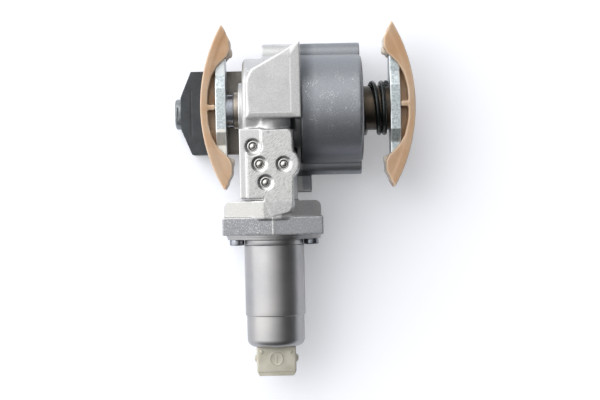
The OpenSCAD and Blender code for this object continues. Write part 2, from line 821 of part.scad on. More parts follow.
module push_pin() {
    color("lightgray") lifted() on_valve() rod_y(armature_low + pin_floor, spool_low - seat_gap, pin_r);
}

module armature() {
    vent_r = 0.9;
    color("slategray") lifted() on_valve() difference() {
        rod_y(armature_low, armature_top, tube_r - run_gap);
        rod_y(armature_low + pin_floor - seat_gap, armature_top + cut, pin_r + seat_gap / 2);
        for (s = [-1, 1]) translate([s * tube_r * 0.6, 0, 0])
            rod_y(armature_low - cut, armature_top + cut, vent_r);
    }
}

module pole_core() {
    color("gray") lifted() on_valve() difference() {
        union() {
            rod_y(can_top, flange_face + spigot_len - seat_gap, spigot_r);
            rod_y(core_low, can_top + cut, tube_r - seat_gap);
        }
        rod_y(core_low - cut, flange_face + spigot_len + cut, pin_r + run_gap);
    }
}

module guide_tube() {
    floor_y = tube_low + 1;
    color("lightgray") lifted() on_valve() turned_y([
        [can_top - seat_gap, tube_r], [can_top - seat_gap, tube_r + tube_wall],
        [tube_low, tube_r + tube_wall], [tube_low, 0], [floor_y, 0], [floor_y, tube_r]]);
}

module coil_bobbin() {
    inner_r = tube_r + tube_wall + seat_gap;
    core_r = inner_r + bobbin_wall;
    inner_low = tube_low - seat_gap;
    color("black") lifted() on_valve() turned_y([
        [bobbin_top, inner_r], [bobbin_top, bobbin_r], [bobbin_top - bobbin_wall, bobbin_r],
        [bobbin_top - bobbin_wall, core_r], [tube_low + bobbin_wall, core_r],
        [tube_low + bobbin_wall, bobbin_r], [bobbin_low, bobbin_r], [bobbin_low, 0], [inner_low, 0],
        [inner_low, inner_r]]);
}

module coil_winding() {
    inner_r = tube_r + tube_wall + bobbin_wall + 2 * seat_gap;
    top = bobbin_top - bobbin_wall - seat_gap;
    low = tube_low + bobbin_wall + seat_gap;
    outer_r = bobbin_r - 0.4;
    color("peru") lifted() on_valve()
        turned_y([[top, inner_r], [top, outer_r], [low, outer_r], [low, inner_r]]);
}

module solenoid_flange() {
    half = screw_spacing / 2;
    rim = 3.2;
    ear_r = flange_half - half - hub_inset;
    step = 0.5;
    step_t = plate_t / 2;
    color("lightgray") lifted() on_valve() difference() {
        union() {
            slab_y(flange_face, step_t) eared_outline(can_r + rim, ear_r, half);
            slab_y(flange_face, plate_t) eared_outline(can_r + rim - step, ear_r - step, half);
        }
        rod_y(can_top - cut, flange_face + cut, spigot_r + seat_gap);
        for (s = [-1, 1]) translate([s * half, 0, 0])
            rod_y(can_top - cut, flange_face + cut, screw_r + screw_hole_gap);
    }
}

module flange_oring() {
    color("black") lifted() on_valve() translate([0, flange_face + oring_wire_r + seat_gap, 0])
        rotate([-90, 0, 0]) rotate_extrude() translate([oring_r, 0]) circle(oring_wire_r, $fn = 24);
}

module flange_screws() {
    socket_r = 0.5 * screw_head_r;
    recess = 0.6 * screw_head_h;
    edge = 0.4;
    head_low = can_top - screw_head_h;
    color("darkgray") lifted() on_valve() for (s = [-1, 1])
        translate([s * screw_spacing / 2, 0, 0]) difference() {
            turned_y([
                [head_low, 0], [head_low, screw_head_r - edge], [head_low + edge, screw_head_r],
                [can_top, screw_head_r], [can_top, screw_r], [flange_face + screw_len, screw_r],
                [flange_face + screw_len, 0]]);
            translate([0, head_low - cut, 0]) rotate([-90, 0, 0])
                cylinder(h = recess + cut, r = socket_r, $fn = 6);
        }
}

module solenoid_can() {
    slope = 0.6;
    inner_r = can_neck_r - can_wall;
    color("gainsboro") lifted() on_valve() turned_y([
        [can_top, inner_r], [can_top, can_neck_r], [can_top - can_neck_h, can_neck_r],
        [can_top - can_neck_h - slope, can_r], [can_low + 0.5, can_r], [can_low, can_r - 0.5],
        [can_low, inner_r]]);
}

module end_cup() {
    inner_r = cup_r - cup_wall;
    color("gainsboro") lifted() on_valve() difference() {
        turned_y(concat(
            [[can_low, inner_r], [can_low, cup_r]],
            arc([cup_low + cup_edge_r, cup_r - cup_edge_r], cup_edge_r, 90, 180),
            [[cup_low, 0], [cup_low + cup_wall, 0]],
            arc([cup_low + cup_edge_r, cup_r - cup_edge_r], cup_edge_r - cup_wall, 180, 90)));
        slab_y(cup_low + stem_h, 2 * stem_h)
            square([stem_w + 2 * seat_gap, stem_d + 2 * seat_gap], center = true);
    }
}

// Rounded rectangle in X and Z
module soft_rect(w, d, r) {
    polygon(concat(
        arc([w / 2 - r, d / 2 - r], r, 0, 90, 4), arc([r - w / 2, d / 2 - r], r, 90, 180, 4),
        arc([r - w / 2, r - d / 2], r, 180, 270, 4), arc([w / 2 - r, r - d / 2], r, 270, 360, 4)));
}

module connector_body() {
    lip = 2;
    lip_step = 0.35;
    lip_edge = 0.35;
    lip_half = conn_w / 2 - lip_step;
    lip_cut = conn_wall - lip_step - lip_edge;
    lip_rise = 1.4;
    mark_r = 3.35;
    mark_h = 0.25;
    mark_y = cup_low - 5.9;
    bump_y = cup_low - 2.4;
    bump_x = 0.37 * conn_w;
    front = conn_d / 2;
    color("tan") lifted() on_valve() difference() {
        union() {
            slab_y(cup_low, conn_len - lip) soft_rect(conn_w, conn_d, 1);
            intersection() {
                slab_y(conn_low + lip, lip) soft_rect(2 * lip_half, conn_d - 2 * lip_step, 1);
                translate([0, conn_low, -conn_d]) linear_extrude(2 * conn_d) polygon([
                    [lip_half, lip], [lip_half, lip_rise], [lip_half - lip_cut, 0],
                    [lip_cut - lip_half, 0], [-lip_half, lip_rise], [-lip_half, lip]]);
            }
            slab_y(cup_low + stem_h, stem_h + cut) square([stem_w, stem_d], center = true);
            for (s = [-1, 1]) {
                translate([s * (conn_w / 2 - 0.5), mark_y - 0.2, -conn_d / 4])
                    cylinder(h = conn_d / 2, r = nub_r);
                translate([s * bump_x, bump_y, front - 0.3]) cylinder(h = 0.8, r1 = 1, r2 = 0.6);
            }
            translate([0, mark_y, front]) {
                difference() {
                    translate([0, 0, -cut]) cylinder(h = mark_h + cut, r = mark_r);
                    cylinder(h = 2 * cut, r = mark_r - 0.4);
                }
                translate([-0.2, -mark_r * 0.55, -cut]) cube([0.4, mark_r * 1.1, mark_h + cut]);
            }
        }
        slab_y(conn_low + socket_depth, socket_depth + cut)
            square([conn_w - 2 * conn_wall, conn_d - 2 * conn_wall], center = true);
        for (s = [-1, 1]) translate([s * blade_pitch / 2, 0, 0])
            slab_y(cup_low + stem_h + cut, stem_h + conn_len)
                square([blade_w + seat_gap, blade_t + seat_gap], center = true);
    }
}

module connector_terminals() {
    color("goldenrod") lifted() on_valve() for (s = [-1, 1]) translate([s * blade_pitch / 2, 0, 0])
        slab_y(bobbin_low - seat_gap, bobbin_low - seat_gap - blade_tip)
            square([blade_w, blade_t], center = true);
}

module buffer_block() {
    line_w = 0.6;
    line_x = -buffer_end + 5;
    color("#3a3f44") lifted() translate([0, 0, -buffer_top - buffer_d]) difference() {
        linear_extrude(buffer_d) polygon([
            [buffer_inner, buffer_half], [-buffer_end + buffer_slope, buffer_half],
            [-buffer_end, buffer_flat], [-buffer_end, -buffer_flat],
            [-buffer_end + buffer_slope, -buffer_half], [buffer_inner, -buffer_half]]);
        translate([line_x, -buffer_half * 0.55, buffer_d - line_w])
            cube([line_w, buffer_half * 1.1, line_w + cut]);
        translate([buffer_inner - tang_len, 0, buffer_d / 2] - seat_gap * [1, 0, 0])
            translate([0, -tang_half - seat_gap, -tang_t / 2 - seat_gap])
                cube([tang_len + cut, 2 * (tang_half + seat_gap), tang_t + 2 * seat_gap]);
        translate([-buffer_end - cut, 0, buffer_d / 2])
            rod_x(0, button_stem + cut, button_stem + seat_gap);
    }
}

module buffer_bracket() {
    color("dimgray") lifted() {
        translate([buffer_inner, -buffer_half, bracket_low])
            cube([-rear_len - buffer_inner, 2 * buffer_half, bracket_top - bracket_low]);
        translate([buffer_inner - tang_len, -tang_half, buffer_mid_z - tang_t / 2])
            cube([tang_len + cut, 2 * tang_half, tang_t]);
        for (s = [-1, 1]) translate([0, s * dowel_y, buffer_mid_z])
            rod_x(-rear_len - cut, dowel_len - rear_len, dowel_r);
    }
}

module buffer_button() {
    button_r = buffer_d / 2 + 0.2;
    edge = 0.6;
    slot_w = 0.9;
    slot_half = 3.2;
    slot_depth = 1.6;
    x = -buffer_end - button_t;
    color("darkgray") lifted() translate([0, 0, buffer_mid_z]) difference() {
        turned_x([
            [x, 0], [x, button_r - edge], [x + edge, button_r], [-buffer_end, button_r],
            [-buffer_end, button_stem], [button_stem - buffer_end - seat_gap, button_stem],
            [button_stem - buffer_end - seat_gap, 0]]);
        for (side = [0, 1]) mirror([0, 0, side])
            translate([x + (button_t - slot_w) / 2, -slot_half, button_r - slot_depth])
                cube([slot_w, 2 * slot_half, slot_depth + cut]);
    }
}

housing();
gallery_balls();
guide_bush();
retaining_ring();
adjuster_piston();
piston_rings();
lower_plate();
lower_shoe();
check_seat();
check_cage();
check_ball();
check_spring();
tension_spring();
tension_plunger();
upper_plate();
upper_shoe();
valve_spool();
spool_spring();
push_pin();
armature();
pole_core();
guide_tube();
coil_bobbin();
coil_winding();
solenoid_flange();
flange_oring();
flange_screws();
solenoid_can();
end_cup();
connector_body();
connector_terminals();
buffer_block();
buffer_bracket();
buffer_button();
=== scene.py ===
import json
import math
import bpy
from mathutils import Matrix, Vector


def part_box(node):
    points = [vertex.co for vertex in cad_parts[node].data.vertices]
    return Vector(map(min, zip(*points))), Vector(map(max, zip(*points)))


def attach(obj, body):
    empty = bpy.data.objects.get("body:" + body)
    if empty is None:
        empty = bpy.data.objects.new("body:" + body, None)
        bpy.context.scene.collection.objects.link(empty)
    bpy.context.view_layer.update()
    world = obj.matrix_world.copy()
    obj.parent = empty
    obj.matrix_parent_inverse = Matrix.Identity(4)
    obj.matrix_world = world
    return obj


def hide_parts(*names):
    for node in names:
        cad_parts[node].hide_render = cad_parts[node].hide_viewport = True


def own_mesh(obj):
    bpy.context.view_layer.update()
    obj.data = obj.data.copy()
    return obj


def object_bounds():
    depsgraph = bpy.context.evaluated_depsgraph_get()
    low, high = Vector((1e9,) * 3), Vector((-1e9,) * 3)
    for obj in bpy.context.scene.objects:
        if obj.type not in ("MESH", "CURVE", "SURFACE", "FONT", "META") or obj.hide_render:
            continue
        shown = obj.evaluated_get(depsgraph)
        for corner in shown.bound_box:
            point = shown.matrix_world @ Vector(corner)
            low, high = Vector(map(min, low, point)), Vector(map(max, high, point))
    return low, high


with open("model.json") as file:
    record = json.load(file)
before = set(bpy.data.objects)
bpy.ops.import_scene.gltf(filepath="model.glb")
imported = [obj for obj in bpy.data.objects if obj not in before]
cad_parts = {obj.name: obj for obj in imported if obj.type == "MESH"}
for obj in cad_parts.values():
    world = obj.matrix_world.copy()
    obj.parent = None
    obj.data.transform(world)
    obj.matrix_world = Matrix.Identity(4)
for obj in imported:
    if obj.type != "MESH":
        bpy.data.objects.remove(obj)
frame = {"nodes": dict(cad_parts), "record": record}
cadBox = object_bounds()
record = frame["record"]
mm = 0.001
print("frame loaded:", len(frame["nodes"]), "nodes")

# points closer than these become one, and faces that differ by less than the angle are joined
clean = {"mergeMm": 0.001, "turnedMergeMm": 0.002, "flatDeg": 0.6}


def activate(obj):
    bpy.ops.object.select_all(action="DESELECT")
    obj.select_set(True)
    bpy.context.view_layer.objects.active = obj


def applyModifier(obj, kind, **settings):
    activate(obj)
    modifier = obj.modifiers.new(kind.lower(), kind)
    for name, value in settings.items():
        setattr(modifier, name, value)
    bpy.ops.object.modifier_apply(modifier=modifier.name)


# a merged copy of a CAD node, with its flat faces whole again
def copyNode(node, name):
    source = frame["nodes"][node]
    piece = bpy.data.objects.new(name, source.data.copy())
    bpy.context.scene.collection.objects.link(piece)
    activate(piece)
    bpy.ops.object.mode_set(mode="EDIT")
    bpy.ops.mesh.select_all(action="SELECT")
    bpy.ops.mesh.remove_doubles(threshold=clean["mergeMm"] * mm)
    bpy.ops.mesh.dissolve_limited(angle_limit=math.radians(clean["flatDeg"]))
    bpy.ops.object.mode_set(mode="OBJECT")
    return piece


# middles of the separate solids in a node
def solidCentres(node):
    piece = copyNode(node, "loose")
    activate(piece)
    bpy.ops.object.mode_set(mode="EDIT")
    bpy.ops.mesh.select_all(action="SELECT")
    bpy.ops.mesh.separate(type="LOOSE")
    bpy.ops.object.mode_set(mode="OBJECT")
    loose = list(bpy.context.selected_objects)
    centres = []
    for solid in loose:
        points = [v.co for v in solid.data.vertices]
        low = Vector([min(p[i] for p in points) for i in range(3)])
        high = Vector([max(p[i] for p in points) for i in range(3)])
        centres.append((low + high) / 2)
        bpy.data.objects.remove(solid)
    return sorted(centres, key=lambda c: (round(c.x, 5), c.y))


ballCentres = solidCentres("gallery_balls")
print("balls found:", len(ballCentres))


# colours are written as sRGB hex and used as linear values
def hexColor(code):
    parts = [int(code[i:i + 2], 16) / 255 for i in (1, 3, 5)]
    linear = [c / 12.92 if c <= 0.04045 else ((c + 0.055) / 1.055) ** 2.4 for c in parts]
    return (*linear, 1.0)


# adds one node with its settings; a socket given as an input becomes a link
def addNode(material, kind, inputs=None, **settings):
    node = material.node_tree.nodes.new(kind)
    for name, value in settings.items():
        setattr(node, name, value)
    for socket, value in (inputs or {}).items():
        if isinstance(value, bpy.types.NodeSocket):
            material.node_tree.links.new(value, node.inputs[socket])
        else:
            node.inputs[socket].default_value = value
    return node


def newMaterial(name):
    material = bpy.data.materials.new(name)
    material.use_nodes = True
    material.node_tree.nodes.clear()
    shader = addNode(material, "ShaderNodeBsdfPrincipled")
    addNode(material, "ShaderNodeOutputMaterial", {"Surface": shader.outputs[0]})
    return material, shader


# gives the shader its colour, roughness and relief
def dressShader(material, shader, tone, rough, bump):
    for socket, output in (("Base Color", tone), ("Roughness", rough), ("Normal", bump)):
        material.node_tree.links.new(output, shader.inputs[socket])


# a texture's scale that gives about one feature for each size in mm
def perMm(size):
    return 1.0 / (size * mm)


# depth of the relief on each kind of surface, in mm
reliefMm = {"cast": 0.06, "turned": 0.02, "plated": 0.05, "moulded": 0.04}


# tints the regions of a finish, one after another
def tintRegions(material, coords, tone, regions):
    for region in regions:
        share = regionShare(material, coords, region)
        tone = addNode(material, "ShaderNodeMix", {0: share, 6: tone, 7: hexColor(region["tone"])},
                       data_type="RGBA").outputs[2]
    return tone


# cast metal: cloudy tone, speckled grain and whatever regions (some of painted light and shade), painted
# glints, wear, strokes and rings of oil with painted shade the look has
def castAluminium(name, look):
    material, shader = newMaterial(name)
    coords = addNode(material, "ShaderNodeTexCoord").outputs["Object"]
    cloud = addNode(material, "ShaderNodeTexNoise", {"Vector": coords, "Scale": perMm(look["cloudMm"]),
                                                     "Detail": 3.0, "Roughness": 0.6})
    cloudShare = addNode(material, "ShaderNodeMapRange", {"Value": cloud.outputs[0], "From Min": 0.35,
                                                          "From Max": 0.65})
    grain = addNode(material, "ShaderNodeTexNoise", {"Vector": coords, "Scale": perMm(look["grainMm"]),
                                                     "Detail": 2.0, "Roughness": 0.65})
    grainShare = addNode(material, "ShaderNodeMapRange", {"Value": grain.outputs[0], "From Min": 0.3,
                                                          "From Max": 0.7})
    tone = addNode(material, "ShaderNodeMix", {0: cloudShare.outputs[0], 6: hexColor(look["dark"]),
                                               7: hexColor(look["pale"])}, data_type="RGBA").outputs[2]
    tone = tintRegions(material, coords, tone, look["regions"])
    if "glitter" in look:
        tone = castGlitter(material, coords, tone, look["glitter"])
    speckled = addNode(material, "ShaderNodeMix", {0: grainShare.outputs[0], 6: hexColor(look["speck"]),
                                                   7: (1, 1, 1, 1)}, data_type="RGBA")
    skin = addNode(material, "ShaderNodeMix", {0: look["speckShare"], 6: tone, 7: speckled.outputs[2]},
                   data_type="RGBA", blend_type="MULTIPLY").outputs[2]
    if "wear" in look:
        skin = wornEdges(material, coords, skin, look["wear"])
    height = grain.outputs[0]
    if "milled" in look:
        milled = look["milled"]
        strokes, inside = millStrokes(material, coords, milled)
        flat = addNode(material, "ShaderNodeMix", {0: inside, 2: height, 3: milled["level"]}).outputs[0]
        skin = addNode(material, "ShaderNodeMix", {0: strokes, 6: skin, 7: hexColor(milled["tone"])},
                       data_type="RGBA").outputs[2]
        height = addNode(material, "ShaderNodeMath", {0: strokes, 1: -milled["groove"], 2: flat},
                         operation="MULTIPLY_ADD").outputs[0]
    if "oilAndShade" in look:
        skin = pocketOilAndShade(material, coords, skin, look["oilAndShade"])
    bump = addNode(material, "ShaderNodeBump", {"Height": height, "Strength": look["bump"],
                                                "Distance": reliefMm["cast"] * mm})
    rough = addNode(material, "ShaderNodeMapRange", {
        "Value": grain.outputs[0], "From Min": 0.3, "From Max": 0.7,
        "To Min": look["rough"] - look["spread"], "To Max": look["rough"] + look["spread"]})
    shader.inputs["Metallic"].default_value = look["metallic"]
    dressShader(material, shader, skin, rough.outputs[0], bump.outputs[0])
    return material


# bright crystals in the cast skin, painted as white glints, thick in some regions
def castGlitter(material, coords, tone, glitter):
    noise = addNode(material, "ShaderNodeTexNoise", {"Vector": coords, "Scale": perMm(glitter["sizeMm"]),
                                                     "Detail": 1.0})
    for region in glitter["regions"]:
        spark = addNode(material, "ShaderNodeMapRange", {
            "Value": noise.outputs[0], "From Min": region["from"],
            "From Max": region["from"] + glitter["edge"], "To Max": region["share"]})
        inside = regionShare(material, coords, region)
        share = addNode(material, "ShaderNodeMath", {0: spark.outputs[0], 1: inside},
                        operation="MULTIPLY").outputs[0]
        if "patchMm" in region:
            patch = addNode(material, "ShaderNodeTexNoise", {
                "Vector": coords, "Scale": perMm(region["patchMm"]), "Detail": 2.0})
            patchShare = addNode(material, "ShaderNodeMapRange", {
                "Value": patch.outputs[0], "From Min": 0.46, "From Max": 0.64})
            share = addNode(material, "ShaderNodeMath", {0: share, 1: patchShare.outputs[0]},
                            operation="MULTIPLY").outputs[0]
        tone = addNode(material, "ShaderNodeMix", {0: share, 6: tone, 7: hexColor(glitter["tone"])},
                       data_type="RGBA").outputs[2]
    return tone


# a dark ring round each sealing ball: old oil and painted shade at the foot of the pocket wall
def pocketOilAndShade(material, coords, skin, oilAndShade):
    flat = addNode(material, "ShaderNodeVectorMath", {0: coords, 1: (1, 1, 0)},
                   operation="MULTIPLY").outputs[0]
    half = oilAndShade["widthMm"] * mm / 2
    for x, y in oilAndShade["places"]:
        reach = addNode(material, "ShaderNodeVectorMath", {0: flat, 1: (x, y, 0)}, operation="DISTANCE")
        off = addNode(material, "ShaderNodeMath", {0: reach.outputs["Value"], 1: oilAndShade["ringMm"] * mm},
                      operation="SUBTRACT")
        away = addNode(material, "ShaderNodeMath", {0: off.outputs[0]}, operation="ABSOLUTE")
        share = addNode(material, "ShaderNodeMapRange", {
            "Value": away.outputs[0], "From Min": half, "From Max": 0.0, "To Max": oilAndShade["share"]},
            interpolation_type="SMOOTHSTEP")
        skin = addNode(material, "ShaderNodeMix", {0: share.outputs[0], 6: skin,
                                                   7: hexColor(oilAndShade["tone"])},
                       data_type="RGBA").outputs[2]
    return skin


# convex edges rubbed bright, found by how sharply the mesh bends there
def wornEdges(material, coords, skin, wear):
    sharp = addNode(material, "ShaderNodeNewGeometry").outputs["Pointiness"]
    share = addNode(material, "ShaderNodeMapRange", {
        "Value": sharp, "From Min": wear["from"], "From Max": wear["to"],
        "To Max": wear["share"]}).outputs[0]
    if "borders" in wear:
        inside = regionShare(material, coords, wear)
        share = addNode(material, "ShaderNodeMath", {0: share, 1: inside}, operation="MULTIPLY").outputs[0]
    return addNode(material, "ShaderNodeMix", {0: share, 6: skin, 7: hexColor(wear["tone"])},
                   data_type="RGBA").outputs[2]


# slanting strokes of the milling cutter, only inside the milled region
def millStrokes(material, coords, milled):
    turned = addNode(material, "ShaderNodeMapping", {
        "Vector": coords, "Rotation": (0, 0, math.radians(milled["slantDeg"])),
        "Scale": (milled["lengthMm"] / milled["widthMm"], 1, 1)}, vector_type="TEXTURE")
    noise = addNode(material, "ShaderNodeTexNoise", {"Vector": turned.outputs[0],
                                                     "Scale": perMm(milled["widthMm"]), "Detail": 2.0})
    stroke = addNode(material, "ShaderNodeMapRange", {"Value": noise.outputs[0], "From Min": 0.52,
                                                      "From Max": 0.64, "To Max": milled["depth"]})
    inside = regionShare(material, coords, milled)
    strokes = addNode(material, "ShaderNodeMath", {0: stroke.outputs[0], 1: inside}, operation="MULTIPLY")
    return strokes.outputs[0], inside


# share of a region: each border has an axis, its place in mm, the side that is inside, and
# a width in mm of its own if it isn't as soft as the region's others
def regionShare(material, coords, region):
    axes = addNode(material, "ShaderNodeSeparateXYZ", {"Vector": coords})
    share = None
    for axis, border, sign, *own in region["borders"]:
        half = sign * (own[0] if own else region["blendMm"]) * mm / 2
        side = addNode(material, "ShaderNodeMapRange", {"Value": axes.outputs[axis],
                                                        "From Min": border * mm - half,
                                                        "From Max": border * mm + half})
        share = side.outputs[0] if share is None else addNode(
            material, "ShaderNodeMath", {0: share, 1: side.outputs[0]}, operation="MULTIPLY").outputs[0]
    return share


# turned or drawn metal: lines round the turning axis, drawn coarser than real so that they show, and
# faint uneven staining
def turnedSteel(name, look):
    material, shader = newMaterial(name)
    coords = addNode(material, "ShaderNodeTexCoord").outputs["Object"]
    stretch = addNode(material, "ShaderNodeMapping", {"Vector": coords, "Scale": look["lines"]})
    lines = addNode(material, "ShaderNodeTexNoise", {
        "Vector": stretch.outputs[0], "Scale": perMm(look["lineMm"]), "Detail": 2.0})
    stain = addNode(material, "ShaderNodeTexNoise", {"Vector": coords, "Scale": perMm(look["stainMm"]),
                                                     "Detail": 4.0, "Roughness": 0.6})
    stainShare = addNode(material, "ShaderNodeMapRange", {"Value": stain.outputs[0], "From Min": 0.35,
                                                          "From Max": 0.68})
    tone = addNode(material, "ShaderNodeMix", {0: stainShare.outputs[0], 6: hexColor(look["dark"]),
                                               7: hexColor(look["pale"])}, data_type="RGBA")
    rough = addNode(material, "ShaderNodeMapRange", {
        "Value": lines.outputs[0], "From Min": 0.3, "From Max": 0.7,
        "To Min": look["rough"] - look["spread"], "To Max": look["rough"] + look["spread"]})
    bump = addNode(material, "ShaderNodeBump", {"Height": lines.outputs[0], "Strength": look["bump"],
                                                "Distance": reliefMm["turned"] * mm})
    shader.inputs["Metallic"].default_value = look["metallic"]
    shader.inputs["Coat Weight"].default_value = look.get("film", 0.0)
    shader.inputs["Coat Roughness"].default_value = 0.12  # a wet film of oil
    dressShader(material, shader, tone.outputs[2], rough.outputs[0], bump.outputs[0])
    return material


# zinc-plated steel: bright blue-grey with a mottled spangle and small pits
def zincPlate(name, look):
    material, shader = newMaterial(name)
    coords = addNode(material, "ShaderNodeTexCoord").outputs["Object"]
    spangle = addNode(material, "ShaderNodeTexVoronoi", {"Vector": coords,
                                                         "Scale": perMm(look["spangleMm"])})
    mottle = addNode(material, "ShaderNodeTexNoise", {"Vector": coords, "Scale": perMm(look["mottleMm"]),
                                                      "Detail": 4.0, "Roughness": 0.7})
    share = addNode(material, "ShaderNodeMapRange", {"Value": mottle.outputs[0], "From Min": 0.4,
                                                     "From Max": 0.6})
    tone = addNode(material, "ShaderNodeMix", {0: share.outputs[0], 6: hexColor(look["dark"]),
                                               7: hexColor(look["pale"])}, data_type="RGBA").outputs[2]
    tone = tintRegions(material, coords, tone, look["regions"])
    tone = wornEdges(material, coords, tone, look["wear"])
    rough = addNode(material, "ShaderNodeMapRange", {
        "Value": spangle.outputs["Distance"], "From Min": 0.0, "From Max": 0.8,
        "To Min": look["brightRough"], "To Max": look["dullRough"]})
    bump = addNode(material, "ShaderNodeBump", {"Height": mottle.outputs[0], "Strength": look["bump"],
                                                "Distance": reliefMm["plated"] * mm})
    shader.inputs["Metallic"].default_value = look["metallic"]
    dressShader(material, shader, tone, rough.outputs[0], bump.outputs[0])
    return material


# how unevenly plastics shine, and how deep red, green and blue light goes into them in mm
plasticSpread = 0.06
scatterMm = (2.0, 1.2, 0.7)


# moulded polyamide or rubber: soft sheen, cloudy tone and a light orange-peel skin
def mouldedPlastic(name, look):
    material, shader = newMaterial(name)
    coords = addNode(material, "ShaderNodeTexCoord").outputs["Object"]
    cloud = addNode(material, "ShaderNodeTexNoise", {"Vector": coords, "Scale": perMm(look["cloudMm"]),
                                                     "Detail": 4.0, "Roughness": 0.6})
    share = addNode(material, "ShaderNodeMapRange", {"Value": cloud.outputs[0], "From Min": 0.35,
                                                     "From Max": 0.66})
    tone = addNode(material, "ShaderNodeMix", {0: share.outputs[0], 6: hexColor(look["dark"]),
                                               7: hexColor(look["pale"])}, data_type="RGBA").outputs[2]
    tone = tintRegions(material, coords, tone, look.get("regions", []))
    if "wear" in look:
        tone = wornEdges(material, coords, tone, look["wear"])
    skin = addNode(material, "ShaderNodeTexNoise", {"Vector": coords, "Scale": perMm(look["skinMm"]),
                                                    "Detail": 2.0})
    rough = addNode(material, "ShaderNodeMapRange", {
        "Value": skin.outputs[0], "From Min": 0.3, "From Max": 0.7,
        "To Min": look["rough"] - plasticSpread, "To Max": look["rough"] + plasticSpread})
    bump = addNode(material, "ShaderNodeBump", {"Height": skin.outputs[0], "Strength": look["bump"],
                                                "Distance": reliefMm["moulded"] * mm})
    shader.inputs["IOR"].default_value = look["ior"]
    shader.inputs["Subsurface Weight"].default_value = look["depth"]
    shader.inputs["Subsurface Radius"].default_value = [depth * mm for depth in scatterMm]
    shader.inputs["Subsurface Scale"].default_value = 1.0
    dressShader(material, shader, tone, rough.outputs[0], bump.outputs[0])
    return material


# along X the lines run round the plunger, along Y round the solenoid
roundX = (1.0, 0.04, 0.04)
roundY = (0.04, 1.0, 0.04)

# tones of the casting's regions; some stand for the light and shade that the photograph shows there
castRegions = [
    # barrel, the painted shadow of the pad on the barrel beside it, and painted shade on its lower side
    {"tone": "#979A9F", "borders": [("X", 19.4, 1), ("Y", -40, 1)], "blendMm": 0.8},
    {"tone": "#5E6166", "borders": [("X", 18.6, 1), ("X", 23, -1), ("Y", -40, 1)], "blendMm": 7},
    {"tone": "#686B70", "borders": [("X", 19.4, 1), ("Y", -19, -1, 9), ("Y", -27, 1)],
     "blendMm": 0.8},
    # ball block, and the left half of the neck below it, painted darker to temper the light that falls on
    # it
    {"tone": "#DCDCDB", "borders": [("Y", -10.7, -1), ("Y", -46, 1), ("Z", 37, 1), ("X", 17, -1)],
     "blendMm": 0.8},
    {"tone": "#BEBDBA", "borders": [("Y", -45.6, -1), ("Y", -53.4, 1), ("X", 1, -1, 5)],
     "blendMm": 0.8},
    # flange, its right half painted lighter where the light falls, and a painted highlight on the thin
    # ridge between
    {"tone": "#929397", "borders": [("Y", -53.4, -1)], "blendMm": 0.8},
    {"tone": "#B4B5B9", "borders": [("Y", -53.4, -1), ("X", 4.6, 1)], "blendMm": 0.8},
    {"tone": "#F4F4F3", "borders": [("X", 4.1, 1), ("X", 4.7, -1), ("Y", -53.2, -1)], "blendMm": 0.4},
    # right and lower bevels of the pad painted light over their shade, and painted highlight lines along
    # them
    {"tone": "#EFEFEE", "borders": [("X", 14.4, 1), ("X", 19.2, -1), ("Y", -7, 1), ("Z", 39.6, 1)],
     "blendMm": 0.3},
    {"tone": "#EDEDEC", "borders": [("Y", -3.1, -1), ("X", 19.2, -1), ("Y", -7, 1), ("Z", 39.6, 1)],
     "blendMm": 0.3},
    {"tone": "#FAFAF9", "borders": [("X", 14.1, 1), ("X", 14.7, -1), ("Y", -3, 1), ("Y", 23, -1),
                                    ("Z", 40, 1)], "blendMm": 0.4},
    {"tone": "#FAFAF9", "borders": [("X", -5, 1), ("X", 14.7, -1), ("Y", -3.3, 1), ("Y", -2.7, -1),
                                    ("Z", 40, 1)], "blendMm": 0.4},
    # painted light on the left side and painted shade on the right side of the boss between pad and block
    {"tone": "#DCDCDB", "borders": [("X", 1, -1, 6), ("X", -8, 1), ("Y", -5.2, -1), ("Y", -10.7, 1),
                                    ("Z", 38.6, -1)], "blendMm": 0.5},
    {"tone": "#5C5E62", "borders": [("X", 7.5, 1, 11), ("X", 16, -1), ("Y", -5.2, -1),
                                    ("Y", -10.7, 1), ("Z", 38.6, -1)], "blendMm": 0.5},
]

